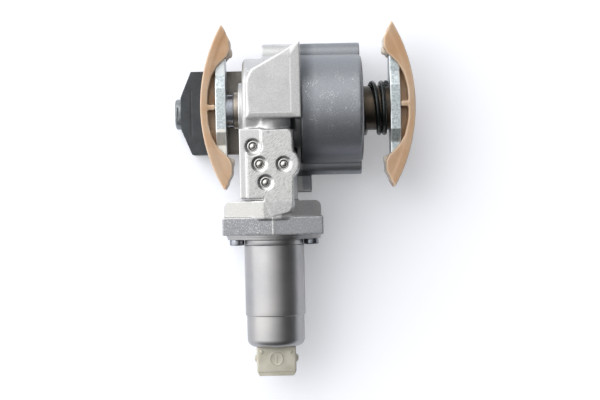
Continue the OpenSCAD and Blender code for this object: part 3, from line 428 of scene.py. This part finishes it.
finishes = {
    # die-cast and shot-blasted: pale satin skin with edges rubbed bright, darker on barrel and flange,
    # with painted light and shade in some regions;
    # its grain, painted glints and milling strokes are drawn coarser than real so that they show
    "castAluminium": castAluminium("die-cast aluminium", {
        "dark": "#CACACB", "pale": "#D4D4D3", "speck": "#8E9094", "speckShare": 0.35, "cloudMm": 11,
        "grainMm": 0.55, "bump": 0.4, "rough": 0.4, "spread": 0.08, "metallic": 0.75,
        "wear": {"from": 0.51, "to": 0.56, "share": 0.5, "tone": "#EDEDEC",
                 "borders": [("X", 19.2, -1)], "blendMm": 0.3},
        "milled": {"slantDeg": 40, "lengthMm": 2.2, "widthMm": 0.26, "depth": 0.8, "groove": 0.2,
                   "level": 0.5, "tone": "#92918D", "blendMm": 0.3,
                   "borders": [("Z", 38.3, 1), ("Y", -9, -1), ("X", -7.4, 1)]},
        "regions": castRegions,
        # white specks painted as glints
        "glitter": {"sizeMm": 0.44, "edge": 0.06, "tone": "#F2F3F3", "regions": [
            {"from": 0.57, "share": 0.45, "borders": [("Y", -53.4, -1)], "blendMm": 0.8},
            {"from": 0.6, "share": 0.7, "patchMm": 5, "blendMm": 5,
             "borders": [("X", 21, 1), ("Y", -12, 1), ("Y", 16, -1)]}]},
        # a dark ring of old oil and painted shade in each ball's pocket
        "oilAndShade": {"ringMm": 2.72, "widthMm": 0.5, "share": 0.6, "tone": "#4B4A48",
                  "places": [(c.x, c.y) for c in ballCentres]}}),
    # pressed and cut by the staking tool: clean bright rims
    "machinedAluminium": turnedSteel("machined aluminium", {
        "dark": "#CFCFCE", "pale": "#DDDDDC", "lines": (1, 1, 1), "lineMm": 0.6, "stainMm": 3,
        "bump": 0.05, "rough": 0.26, "spread": 0.05, "metallic": 1.0}),
    # lapped balls: small sharp highlights
    "ballSteel": turnedSteel("polished bearing steel", {
        "dark": "#B9B7B4", "pale": "#D2D0CC", "lines": (1, 1, 1), "lineMm": 0.5, "stainMm": 2,
        "bump": 0.02, "rough": 0.16, "spread": 0.06, "metallic": 1.0}),
    # ground bush and valve parts: a warm sheen in fine rings
    "groundSteel": turnedSteel("ground steel", {
        "dark": "#857E75", "pale": "#ABA399", "lines": roundX, "lineMm": 0.3, "stainMm": 5,
        "bump": 0.15, "rough": 0.28, "spread": 0.06, "metallic": 1.0}),
    # hardened in a furnace: brown-grey, half bright
    "darkSteel": turnedSteel("case-hardened steel", {
        "dark": "#57514B", "pale": "#8A8178", "lines": roundX, "lineMm": 0.4, "stainMm": 8,
        "bump": 0.12, "rough": 0.3, "spread": 0.06, "metallic": 0.95}),
    # rubbed smooth in use: a cool dark mirror with soft streaks
    "polishedSteel": turnedSteel("polished steel", {
        "dark": "#70737A", "pale": "#989BA2", "lines": roundX, "lineMm": 0.4, "stainMm": 8,
        "bump": 0.05, "rough": 0.2, "spread": 0.04, "metallic": 1.0}),
    # tinted by hot oil: dark brown with a dull gloss
    "burntSteel": turnedSteel("burnt-in plunger steel", {
        "dark": "#36332F", "pale": "#54493D", "lines": roundX, "lineMm": 0.4, "stainMm": 7,
        "bump": 0.1, "rough": 0.34, "spread": 0.06, "metallic": 0.9}),
    # blackened wire under a film of oil: black with thin wet highlights
    "springSteel": turnedSteel("oil-blackened spring steel", {
        "dark": "#0D1312", "pale": "#1D2524", "lines": (1, 1, 1), "lineMm": 1.2, "stainMm": 4,
        "bump": 0.1, "rough": 0.3, "spread": 0.06, "metallic": 0.5, "film": 0.45}),
    # plated in a bath: bright blue-grey, cloudy, with white worn edges; its spangle is drawn coarser
    # than real so that it shows
    "zincPlate": zincPlate("zinc-plated steel", {
        "dark": "#A3ADB1", "pale": "#CDD5D7", "spangleMm": 1.4, "mottleMm": 1.1, "bump": 0.35,
        "brightRough": 0.28, "dullRough": 0.5, "metallic": 0.85,
        "wear": {"from": 0.503, "to": 0.53, "share": 0.8, "tone": "#F4F7F7"},
        "regions": [
            {"tone": "#DADFE0", "borders": [("X", 20, -1), ("Y", 17.6, 1)], "blendMm": 0.6},
            {"tone": "#DEDCD4", "borders": [("X", 20, -1), ("Y", -9.4, -1)], "blendMm": 0.6}]}),
    # moulded nylon: warm tan with a soft waxy sheen, pale at rubbed edges and clips
    "tanPolyamide": mouldedPlastic("tan polyamide", {
        "dark": "#BA926C", "pale": "#C0A489", "cloudMm": 16, "skinMm": 0.9, "rough": 0.42, "bump": 0.2,
        "ior": 1.53, "depth": 0.3,
        "wear": {"from": 0.504, "to": 0.54, "share": 0.7, "tone": "#E6D3BC"},
        "regions": [
            {"tone": "#D8CCBF", "borders": [("X", -17.6, 1), ("X", 20, -1), ("Z", 17, -1)],
             "blendMm": 0.6},
            {"tone": "#D8CCBF", "borders": [("X", 63, -1), ("X", 40, 1), ("Z", 17, -1)],
             "blendMm": 0.6}]}),
    # drawn can, blasted: even satin grey with broad soft reflections
    "canSteel": turnedSteel("deep-drawn steel", {
        "dark": "#A1A1A3", "pale": "#ADABAA", "lines": roundY, "lineMm": 0.7, "stainMm": 16,
        "bump": 0.01, "rough": 0.36, "spread": 0.03, "metallic": 0.95}),
    # turned iron: plain mid grey with faint rings
    "softIron": turnedSteel("soft iron", {
        "dark": "#6E6E6E", "pale": "#8C8C8A", "lines": roundY, "lineMm": 0.4, "stainMm": 6,
        "bump": 0.1, "rough": 0.4, "spread": 0.06, "metallic": 1.0}),
    # wound wire under enamel: red-brown, glossy and finely ribbed
    "copperWire": turnedSteel("enamelled copper", {
        "dark": "#8A4B25", "pale": "#B8703E", "lines": (0.05, 1, 0.05), "lineMm": 0.4, "stainMm": 6,
        "bump": 0.4, "rough": 0.3, "spread": 0.06, "metallic": 0.9}),
    # stamped blades under thin tin: pale yellow with a clean shine
    "bladeBrass": turnedSteel("tinned brass", {
        "dark": "#B59A58", "pale": "#D8C68C", "lines": (1, 0.05, 1), "lineMm": 0.2, "stainMm": 3,
        "bump": 0.08, "rough": 0.3, "spread": 0.06, "metallic": 1.0}),
    # moulded with glass fibre: near black and dull
    "bobbinPlastic": mouldedPlastic("glass-filled polyamide", {
        "dark": "#151515", "pale": "#222222", "cloudMm": 8, "skinMm": 0.7, "rough": 0.5, "bump": 0.2,
        "ior": 1.53, "depth": 0.0}),
    # moulded ring: black with a soft bloom
    "sealRubber": mouldedPlastic("seal rubber", {
        "dark": "#0E0E0E", "pale": "#1B1B1B", "cloudMm": 5, "skinMm": 0.6, "rough": 0.55, "bump": 0.15,
        "ior": 1.52, "depth": 0.0}),
    # moulded connector: warm grey, even and matte
    "greyPolyamide": mouldedPlastic("grey-beige polyamide", {
        "dark": "#B9B5A5", "pale": "#CBC7B9", "cloudMm": 7, "skinMm": 0.6, "rough": 0.45, "bump": 0.15,
        "ior": 1.53, "depth": 0.05}),
    # moulded block: blue-black and matte with a dry skin
    "blackRubber": mouldedPlastic("black moulded rubber", {
        "dark": "#282D32", "pale": "#393F44", "cloudMm": 9, "skinMm": 0.8, "rough": 0.55, "bump": 0.3,
        "ior": 1.5, "depth": 0.0}),
    # phosphated in a bath: dull brown-grey
    "bracketSteel": turnedSteel("phosphated steel", {
        "dark": "#6E6A65", "pale": "#8F8A83", "lines": (1, 1, 1), "lineMm": 1.0, "stainMm": 10,
        "bump": 0.2, "rough": 0.4, "spread": 0.06, "metallic": 0.8}),
    # sand-cast: grey with an open grain
    "buttonAlloy": castAluminium("sand-cast alloy", {
        "dark": "#868B8F", "pale": "#A8ADB0", "speck": "#6E7276", "speckShare": 0.4, "cloudMm": 4,
        "grainMm": 0.8, "bump": 0.4, "rough": 0.45, "spread": 0.08, "metallic": 0.7, "regions": []}),
}

# record slots and the finishes they take
slotFinish = {
    "cast_aluminium": "castAluminium", "ball_steel": "ballSteel", "ground_steel": "groundSteel",
    "dark_steel": "darkSteel", "spring_steel": "springSteel", "zinc_plate": "zincPlate",
    "tan_polyamide": "tanPolyamide", "can_steel": "canSteel", "soft_iron": "softIron",
    "bobbin_plastic": "bobbinPlastic", "copper_wire": "copperWire", "seal_rubber": "sealRubber",
    "grey_polyamide": "greyPolyamide", "blade_brass": "bladeBrass", "black_rubber": "blackRubber",
    "bracket_steel": "bracketSteel", "button_alloy": "buttonAlloy",
}
nodeSlot = {part["node"]: part["material_slot"] for part in record["subparts"]}
nodeBody = {node: body for body, nodes in record["behaviour"]["bodies"].items() for node in nodes}
# the neck is polished by its bush, and the plunger is tinted by hot oil
nodeFinish = {"adjuster_piston": "polishedSteel", "tension_plunger": "burntSteel",
              "flange_screws": "polishedSteel"}


def finishOf(node):
    return nodeFinish.get(node, slotFinish[nodeSlot[node]])


def setFinish(obj, finish):
    obj.data.materials.clear()
    obj.data.materials.append(finishes[finish])


for nodeName, nodeObj in frame["nodes"].items():
    setFinish(nodeObj, finishOf(nodeName))
print("materials made:", len(finishes))


# shades a finished piece and puts it in its node's place
def settle(piece, node, angle=32):
    activate(piece)
    bpy.ops.object.transform_apply(location=True, rotation=True, scale=True)
    bpy.ops.object.shade_smooth_by_angle(angle=math.radians(angle))
    setFinish(piece, finishOf(node))
    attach(piece, nodeBody[node])
    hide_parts(node)
    return piece


# turns a profile of (place along the axis, radius) into a closed ring or solid
def turnPiece(name, profile, centre, along, steps):
    side = Vector((1, 0, 0))
    points = [centre + along * place + side * radius for place, radius in profile]
    mesh = bpy.data.meshes.new(name)
    closed = [(i, (i + 1) % len(points)) for i in range(len(points))]
    mesh.from_pydata(points, closed, [])
    piece = bpy.data.objects.new(name, mesh)
    bpy.context.scene.collection.objects.link(piece)
    activate(piece)
    bpy.ops.object.mode_set(mode="EDIT")
    bpy.ops.mesh.select_all(action="SELECT")
    bpy.ops.mesh.spin(steps=steps, angle=2 * math.pi, center=centre, axis=along)
    bpy.ops.mesh.select_all(action="SELECT")
    bpy.ops.mesh.remove_doubles(threshold=clean["turnedMergeMm"] * mm)
    bpy.ops.mesh.dissolve_degenerate(threshold=clean["mergeMm"] * mm)
    bpy.ops.mesh.normals_make_consistent(inside=False)
    bpy.ops.object.mode_set(mode="OBJECT")
    return piece


# points of a quarter round in a profile
def quarter(place, radius, r, start, end, count=6):
    angles = [math.radians(start + (end - start) * i / count) for i in range(count + 1)]
    return [(place + r * math.cos(a), radius + r * math.sin(a)) for a in angles]


def joinPieces(name, pieces):
    bpy.ops.object.select_all(action="DESELECT")
    for piece in pieces:
        piece.select_set(True)
    bpy.context.view_layer.objects.active = pieces[0]
    if len(pieces) > 1:
        bpy.ops.object.join()
    pieces[0].name = name
    return pieces[0]


casting = {"voxelMm": 0.36, "roundings": 3, "keep": 0.27, "pocketMm": 3.9, "pocketFloorMm": 3.0,
           "pocketDepthMm": 1.3, "lipMm": 0.15, "holeMm": 2.06, "holeDepthMm": 4.0, "ringSteps": 64,
           "ballSteps": 48}
# the staked ring in each pocket: depth and radius round its section, in mm
stakedRing = [(1.35, 2.08), (1.05, 2.08), (0.9, 2.15), (0.83, 2.3), (0.86, 2.44), (0.98, 2.56),
              (1.12, 2.66), (1.1, 2.76), (0.02, 3.97), (0.3, 3.9), (1.35, 3.1)]
# the balls lie a little below the face of their block
ballRadius = 2.0 * mm
ballDrop = 0.3 * mm


# countersunk pockets are cut again after the casting's edges are rounded
def pocketCutters():
    cutters = []
    for centre in ballCentres:
        face = centre.z + ballRadius + ballDrop
        lip = casting["lipMm"] * mm
        depth = casting["pocketDepthMm"] * mm + lip
        bpy.ops.object.select_all(action="DESELECT")
        bpy.ops.mesh.primitive_cone_add(vertices=casting["ringSteps"], depth=depth,
                                        radius1=casting["pocketFloorMm"] * mm,
                                        radius2=casting["pocketMm"] * mm + lip,
                                        location=(centre.x, centre.y, face - depth / 2 + lip))
        cutters.append(bpy.context.object)
        hole = casting["holeDepthMm"] * mm
        bpy.ops.mesh.primitive_cylinder_add(vertices=casting["ballSteps"], depth=hole,
                                            radius=casting["holeMm"] * mm,
                                            location=(centre.x, centre.y, face - hole / 2))
        cutters.append(bpy.context.object)
    for cutter in cutters:
        activate(cutter)
        bpy.ops.object.transform_apply(location=True, rotation=True, scale=True)
    return cutters


# rounds a piece's edges evenly, as a mould or a blast of shot leaves them
def roundOff(piece, size, passes, keep):
    applyModifier(piece, "REMESH", mode="VOXEL", voxel_size=size * mm)
    applyModifier(piece, "SMOOTH", factor=0.5, iterations=passes)
    applyModifier(piece, "DECIMATE", ratio=keep)


# cast fillets where lugs and boss run into the barrel: corners of the box round each, in mm
fillets = {"boxes": [((-7, -10.4, 28), (6, -5.4, 38.2)), ((20, 24, 6), (52, 31, 34)),
                     ((20, -31, 6), (52, -24, 34))],
           "passes": 40, "leastUp": 0.05}


# melts the upper side of the joints into soft fillets
def meltJoints(piece):
    group = piece.vertex_groups.new(name="fillets")
    for low, high in fillets["boxes"]:
        inside = [vertex.index for vertex in piece.data.vertices if vertex.normal.z > fillets["leastUp"]
                  and all(a * mm < place < b * mm for a, place, b in zip(low, vertex.co, high))]
        group.add(inside, 1.0, "REPLACE")
        print("fillet:", len(inside), "vertices")
    applyModifier(piece, "SMOOTH", factor=0.5, iterations=fillets["passes"], vertex_group=group.name)
    piece.vertex_groups.remove(piece.vertex_groups["fillets"])


def makeHousing():
    piece = copyNode("housing", "castHousing")
    roundOff(piece, casting["voxelMm"], casting["roundings"], casting["keep"])
    meltJoints(piece)
    for cutter in pocketCutters():
        applyModifier(piece, "BOOLEAN", operation="DIFFERENCE", object=cutter, solver="EXACT")
        bpy.data.objects.remove(cutter)
    settle(piece, "housing", angle=40)
    print("housing:", len(piece.data.polygons), "faces")


makeHousing()


def makeBalls():
    balls = []
    for centre in ballCentres:
        bpy.ops.object.select_all(action="DESELECT")
        bpy.ops.mesh.primitive_uv_sphere_add(segments=casting["ballSteps"], radius=ballRadius,
                                             ring_count=casting["ballSteps"] // 2, location=centre)
        balls.append(bpy.context.object)
    settle(joinPieces("sealingBalls", balls), "gallery_balls", angle=60)
    print("balls:", len(balls))


# the casting is staked over each ball, which leaves a collar and a smooth wall in the pocket
def makeCollars():
    collars = []
    for centre in ballCentres:
        face = centre.z + ballRadius + ballDrop
        profile = [(face - depth * mm, radius * mm) for depth, radius in stakedRing]
        foot = Vector((centre.x, centre.y, 0))
        collars.append(turnPiece("collar", profile, foot, Vector((0, 0, 1)), casting["ringSteps"]))
    piece = joinPieces("stakedCollars", collars)
    activate(piece)
    bpy.ops.object.shade_smooth_by_angle(angle=math.radians(50))
    setFinish(piece, "machinedAluminium")
    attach(piece, "housing")
    print("collars:", len(collars))


makeBalls()
makeCollars()

# moulded and forged pieces: mesh size in mm, passes that round it, and the share of faces kept
soft = {"lower_shoe": (0.4, 20, 0.5), "upper_shoe": (0.4, 20, 0.5), "lower_plate": (0.3, 4, 0.6),
        "upper_plate": (0.3, 4, 0.6), "buffer_block": (0.3, 3, 0.5)}
# edge rounding in mm, for edges that bend by the angle or more
edges = {"buffer_bracket": 0.5, "buffer_button": 0.3, "solenoid_flange": 0.3, "flange_screws": 0.25,
         "connector_body": 0.22}
edgeDeg = 28
pieceNames = {"lower_shoe": "lowerShoe", "upper_shoe": "upperShoe", "lower_plate": "lowerCarrier",
              "upper_plate": "upperCarrier", "buffer_block": "bufferBlock",
              "buffer_bracket": "bufferBracket", "buffer_button": "bufferButton",
              "solenoid_flange": "solenoidPlate",
              "flange_screws": "plateScrews", "connector_body": "connectorShell"}


def makeSoft(node):
    piece = copyNode(node, pieceNames[node])
    size, passes, keep = soft[node]
    roundOff(piece, size, passes, keep)
    return settle(piece, node, angle=40)


def makeEased(node):
    piece = copyNode(node, pieceNames[node])
    applyModifier(piece, "BEVEL", width=edges[node] * mm, segments=3, limit_method="ANGLE",
                  angle_limit=math.radians(edgeDeg), use_clamp_overlap=True, harden_normals=False)
    settle(piece, node, angle=40)


for softNode in soft:
    softPiece = makeSoft(softNode)
    print("soft piece:", softPiece.name, len(softPiece.data.polygons), "faces")
for easedNode in edges:
    makeEased(easedNode)
print("eased pieces:", len(edges))

# tension spring: radius of its wire, its turns, those that lie closed at each end, and their pitch
springLook = {"wireMm": 1.3, "turns": 4.6, "outerClosed": 1.65, "innerClosed": 1.0, "pitchWires": 2.04,
              "easing": 0.12, "perTurn": 36}


def makeTensionSpring():
    low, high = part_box("tension_spring")
    wire = springLook["wireMm"] * mm
    radius = (high.z - low.z) / 2 - wire
    centre = (low + high) / 2
    first, last = high.x - wire, low.x + wire
    turns = springLook["turns"]
    outer = springLook["outerClosed"]
    inner = springLook["innerClosed"]
    tight = springLook["pitchWires"] * wire

    def laid(turn):
        if turn < outer:
            return first - tight * turn
        if turn > turns - inner:
            return last + tight * (turns - turn)
        share = (turn - outer) / (turns - outer - inner)
        return (first - tight * outer) * (1 - share) + (last + tight * inner) * share

    # the change of pitch is eased over a part of a turn
    def lay(turn):
        ease = min(springLook["easing"], turn, turns - turn)
        return (laid(turn - ease) + 2 * laid(turn) + laid(turn + ease)) / 4

    count = int(turns * springLook["perTurn"])
    curve = bpy.data.curves.new("tensionSpring", "CURVE")
    curve.dimensions = "3D"
    curve.bevel_depth = wire
    curve.bevel_resolution = 5
    curve.use_fill_caps = True
    spline = curve.splines.new("POLY")
    spline.points.add(count)
    for i, point in enumerate(spline.points):
        turn = turns * i / count
        angle = -2 * math.pi * turn
        y, z = centre.y + radius * math.cos(angle), centre.z + radius * math.sin(angle)
        point.co = (lay(turn), y, z, 1)
    piece = bpy.data.objects.new("tensionSpring", curve)
    bpy.context.scene.collection.objects.link(piece)
    activate(piece)
    bpy.ops.object.convert(target="MESH")
    piece = bpy.context.object
    settle(piece, "tension_spring", angle=60)
    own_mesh(piece)
    print("spring:", len(piece.data.polygons), "faces")


# springs inside, each with its name, the joint that shortens it and the axis it lies along
smallSprings = {"check_spring": ("checkSpring", "check_lift", 0),
                "spool_spring": ("spoolSpring", "valve_slide", 1)}


def makeSmallSpring(node):
    name, joint, axis = smallSprings[node]
    low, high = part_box(node)
    piece = copyNode(node, name)
    settle(piece, node, angle=70)
    along = Vector((0, 0, 0))
    along[axis] = 1
    anchor = (low + high) / 2
    anchor[axis] = high[axis]
    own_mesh(piece)


makeTensionSpring()
for springNode in smallSprings:
    makeSmallSpring(springNode)
print("small springs:", len(smallSprings))

# can and cup: radii, heights and rounded edges in mm; the rings on the wall only steady its shading
canLook = {"neckMm": 14.75, "neckHeightMm": 2.5, "wallMm": 1.2, "edgeMm": 0.5, "shoulder": 1.2,
           "shoulderDeg": 20, "ringsMm": (24, 3), "cupEdgeMm": 4.0, "cupHoleMm": 5, "steps": 128}


def makeCan():
    low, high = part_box("solenoid_can")
    centre = Vector(((low.x + high.x) / 2, 0, (low.z + high.z) / 2))
    radius = (high.x - low.x) / 2
    neck = canLook["neckMm"] * mm
    inner = neck - canLook["wallMm"] * mm
    edge = canLook["edgeMm"] * mm
    step = high.y - canLook["neckHeightMm"] * mm
    profile = [(high.y, inner), (high.y, neck - edge)]
    profile += quarter(high.y - edge, neck - edge, edge, 0, 90)
    profile += [(step, neck)]
    profile += quarter(step - canLook["shoulder"] * edge, radius - edge, edge, canLook["shoulderDeg"], 90)
    profile += [(low.y + ring * mm, radius) for ring in canLook["ringsMm"]]
    profile += quarter(low.y + edge, radius - edge, edge, 90, 180)
    profile += [(low.y, inner)]
    piece = turnPiece("solenoidCan", profile, centre, Vector((0, 1, 0)), canLook["steps"])
    settle(piece, "solenoid_can")


def makeCup():
    low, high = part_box("end_cup")
    centre = Vector(((low.x + high.x) / 2, 0, (low.z + high.z) / 2))
    radius = (high.x - low.x) / 2
    edge = canLook["cupEdgeMm"] * mm
    wall = canLook["wallMm"] * mm
    hole = canLook["cupHoleMm"] * mm
    inner = radius - wall
    profile = [(high.y, inner), (high.y, radius)]
    profile += quarter(low.y + edge, radius - edge, edge, 90, 180, count=12)
    profile += [(low.y, hole), (low.y + wall, hole), (low.y + edge, inner)]
    piece = turnPiece("endCup", profile, centre, Vector((0, 1, 0)), canLook["steps"])
    settle(piece, "end_cup")


makeCan()
makeCup()
print("solenoid shells made")

# camera over the part, as the photograph was taken: 0.5 mm for each of 600 pixels at the plunger's axis
shot = {"axisHeightMm": 12.0, "distanceMm": 700.0, "pixelMm": 0.5, "pixels": 600, "aimMm": (17.8, -45.2),
        "rollDeg": -1.25, "sensorMm": 36.0}


def placeCamera():
    data = bpy.data.cameras.new("camera")
    data.sensor_width = shot["sensorMm"]
    data.lens = shot["sensorMm"] * shot["distanceMm"] / (shot["pixelMm"] * shot["pixels"])
    data.clip_start = 0.01
    camera = bpy.data.objects.new("camera", data)
    bpy.context.scene.collection.objects.link(camera)
    height = (shot["axisHeightMm"] + shot["distanceMm"]) * mm
    camera.location = (shot["aimMm"][0] * mm, shot["aimMm"][1] * mm, height)
    camera.rotation_euler = (0, 0, math.radians(shot["rollDeg"]))
    bpy.context.scene.camera = camera


placeCamera()

# each fade of the sky goes along an axis from a share of its light at one place to all of it at another
studio = {"floor": "#E9ECF4", "floorRough": 0.9, "floorSizeMm": 6000, "floorGlow": 0.26,
          "sky": {"dim": 0.03, "bright": 2.4, "fullShare": 0.5,
                  "fades": [("X", 0.55, -0.8, 0.03), ("Y", -0.65, 0.75, 0.04), ("Y", 1.05, 0.78, 0.3)]},
          "key": {"power": 5, "sizeMm": 1300, "place": (-1260, 735, 1512)}}


def placeLight(name, light):
    data = bpy.data.lights.new(name, "AREA")
    data.energy = light["power"]
    data.size = light["sizeMm"] * mm
    lamp = bpy.data.objects.new(name, data)
    bpy.context.scene.collection.objects.link(lamp)
    lamp.location = [c * mm for c in light["place"]]
    target = Vector((shot["aimMm"][0] * mm, shot["aimMm"][1] * mm, 0))
    lamp.rotation_euler = (target - lamp.location).to_track_quat("-Z", "Y").to_euler()


def makeFloor():
    bpy.ops.object.select_all(action="DESELECT")
    bpy.ops.mesh.primitive_plane_add(size=studio["floorSizeMm"] * mm, location=(0, 0, cadBox[0][2]))
    floor = bpy.context.object
    floor.name = "floor"
    material, shader = newMaterial("matte white paper")  # an even pale ground without a sheen
    shader.inputs["Base Color"].default_value = hexColor(studio["floor"])
    shader.inputs["Roughness"].default_value = studio["floorRough"]
    rays = addNode(material, "ShaderNodeLightPath").outputs
    seen = rays["Is Camera Ray"]
    for other in ("Is Glossy Ray", "Is Transmission Ray"):
        seen = addNode(material, "ShaderNodeMath", {0: seen, 1: rays[other]},
                       operation="MAXIMUM").outputs[0]
    glow = addNode(material, "ShaderNodeMath", {0: seen, 1: studio["floorGlow"]}, operation="MULTIPLY")
    shader.inputs["Emission Color"].default_value = (1, 1, 1, 1)
    material.node_tree.links.new(glow.outputs[0], shader.inputs["Emission Strength"])
    floor.data.materials.append(material)


# one wide bright side at the upper left, fading to a dim room at the right and below
def lightWorld():
    sky = studio["sky"]
    world = bpy.data.worlds.new("studio")
    bpy.context.scene.world = world
    world.use_nodes = True
    background = world.node_tree.nodes["Background"]
    background.inputs["Color"].default_value = (1, 1, 1, 1)
    way = addNode(world, "ShaderNodeTexCoord").outputs["Generated"]
    axes = addNode(world, "ShaderNodeSeparateXYZ", {"Vector": way})
    share = None
    for axis, start, end, least in sky["fades"]:
        fade = addNode(world, "ShaderNodeMapRange", {"Value": axes.outputs[axis], "From Min": start,
                                                     "From Max": end, "To Min": least})
        share = fade.outputs[0] if share is None else addNode(
            world, "ShaderNodeMath", {0: share, 1: fade.outputs[0]}, operation="MULTIPLY").outputs[0]
    level = addNode(world, "ShaderNodeMapRange", {"Value": share, "From Max": sky["fullShare"],
                                                  "To Min": sky["dim"], "To Max": sky["bright"]})
    world.node_tree.links.new(level.outputs[0], background.inputs["Strength"])


makeFloor()
lightWorld()
placeLight("keyLight", studio["key"])
bpy.context.scene.view_settings.view_transform = "Standard"
print("stage set")
